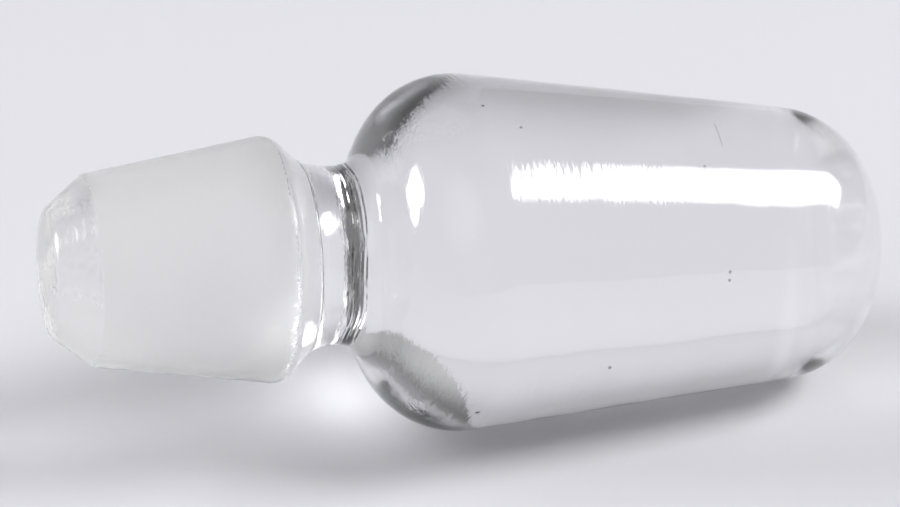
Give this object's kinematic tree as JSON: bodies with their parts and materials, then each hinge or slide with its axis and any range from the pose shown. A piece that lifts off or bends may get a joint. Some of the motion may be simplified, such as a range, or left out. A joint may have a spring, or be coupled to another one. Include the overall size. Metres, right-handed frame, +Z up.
{
  "type": "glass stopper",
  "caption": "Solid clear glass stopper: conical head with rounded shoulder and end, waisted neck, ground taper plug with bevelled tip.",
  "frame": {"origin": "centre of the bounding box on the plane that the stopper lies on", "axes": "+X along the length, from the plug's tip to the head's end; +Z up, away from the surface that it lies on"},
  "size_m": [0.0942, 0.0394, 0.0393],
  "materials": {
    "glass": "clear fire-polished glass with a frosted ground band on the plug"
  },
  "bodies": {
    "root": {"stopper": "glass"}
  },
  "joints": []
}
